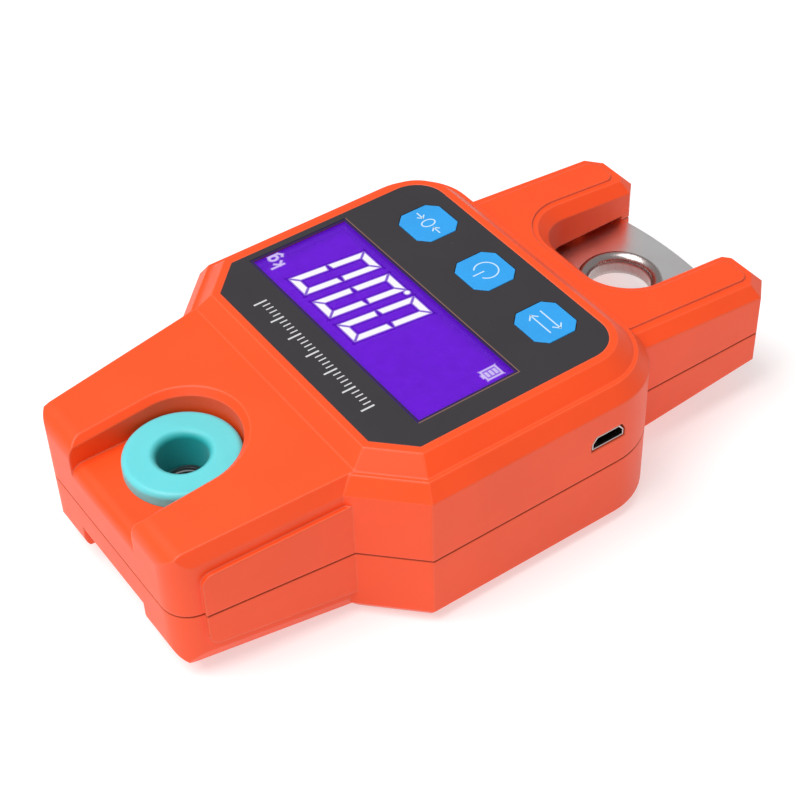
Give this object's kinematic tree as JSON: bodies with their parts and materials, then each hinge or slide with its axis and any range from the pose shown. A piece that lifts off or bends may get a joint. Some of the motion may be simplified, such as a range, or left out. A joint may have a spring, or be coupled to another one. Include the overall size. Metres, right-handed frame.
{
  "type": "digital hanging scale",
  "caption": "Pocket hanging scale: orange two-part casing, violet LCD, three blue keys, grommeted top eye and a steel plate with a flared hook eye in a forked end.",
  "frame": {"origin": "middle of the bottom of the overall box, at the back cover's flat back", "axes": "+Z out of the display, +Y from the hook plate towards the top eye, +X along the reading direction"},
  "size_m": [0.082, 0.1424, 0.0393],
  "materials": {
    "casing_orange": "satin moulded ABS, fine texture",
    "overlay_charcoal": "printed polycarbonate film, matt",
    "window_clear": "clear acrylic, polished",
    "lcd_violet": "negative liquid-crystal panel, violet",
    "light_guide_white": "acrylic light guide",
    "holder_white": "moulded frame",
    "pins_tin": "tinned",
    "key_blue": "moulded silicone, satin",
    "plunger_black": "carbon-filled silicone",
    "switch_steel": "pressed switch cover",
    "board_green": "green solder mask",
    "usb_steel": "bright plated shell",
    "tongue_black": "moulded",
    "chip_black": "moulded package",
    "capacitor_tan": "ceramic",
    "crystal_steel": "metal can",
    "buzzer_black": "moulded can",
    "battery_silver": "laminated pouch",
    "pad_foam": "foam pad",
    "socket_white": "nylon",
    "lead_red": "insulated lead",
    "lead_black": "insulated lead",
    "lead_white": "insulated leads",
    "cell_aluminium": "milled",
    "bush_steel": "turned",
    "gauge_amber": "polyimide film",
    "terminal_green": "solder pads",
    "plate_steel": "bead-blasted stainless",
    "ring_steel": "polished stainless",
    "bolt_steel": "zinc plated",
    "grommet_turquoise": "satin elastomer",
    "screw_steel": "zinc plated"
  },
  "bodies": {
    "casing": {"front_cover": "casing_orange", "back_cover": "casing_orange", "front_overlay": "overlay_charcoal", "lcd_window": "window_clear", "lcd_glass": "lcd_violet", "lcd_backlight": "light_guide_white", "lcd_holder": "holder_white", "lcd_pins": "pins_tin", "switch_bodies": "switch_steel", "main_board": "board_green", "usb_shell": "usb_steel", "usb_tongue": "tongue_black", "controller_chip": "chip_black", "adc_chip": "chip_black", "charger_chip": "chip_black", "capacitors": "capacitor_tan", "crystal": "crystal_steel", "buzzer": "buzzer_black", "battery": "battery_silver", "battery_pad": "pad_foam", "battery_socket": "socket_white", "battery_lead_red": "lead_red", "battery_lead_black": "lead_black", "load_cell": "cell_aluminium", "eye_bush": "bush_steel", "strain_gauges": "gauge_amber", "gauge_terminals": "terminal_green", "cell_wires": "lead_white", "hook_plate": "plate_steel", "eyelet_ring": "ring_steel", "clevis_bolts": "bolt_steel", "clevis_nuts": "bolt_steel", "front_grommet": "grommet_turquoise", "back_grommet": "grommet_turquoise", "casing_screws": "screw_steel", "board_screws": "screw_steel", "cell_screws": "screw_steel"},
    "tare_button": {"tare_key": "key_blue", "tare_plunger": "plunger_black"},
    "power_button": {"power_key": "key_blue", "power_plunger": "plunger_black"},
    "unit_button": {"unit_key": "key_blue", "unit_plunger": "plunger_black"}
  },
  "joints": [
    {"name": "tare_press", "type": "slide", "parent": "casing", "child": "tare_button", "axis": [0, 0, -1], "range_m": [0, 0.0004], "stiffness_N_per_m": 1500},
    {"name": "power_press", "type": "slide", "parent": "casing", "child": "power_button", "axis": [0, 0, -1], "range_m": [0, 0.0004], "stiffness_N_per_m": 1500},
    {"name": "unit_press", "type": "slide", "parent": "casing", "child": "unit_button", "axis": [0, 0, -1], "range_m": [0, 0.0004], "stiffness_N_per_m": 1500}
  ]
}
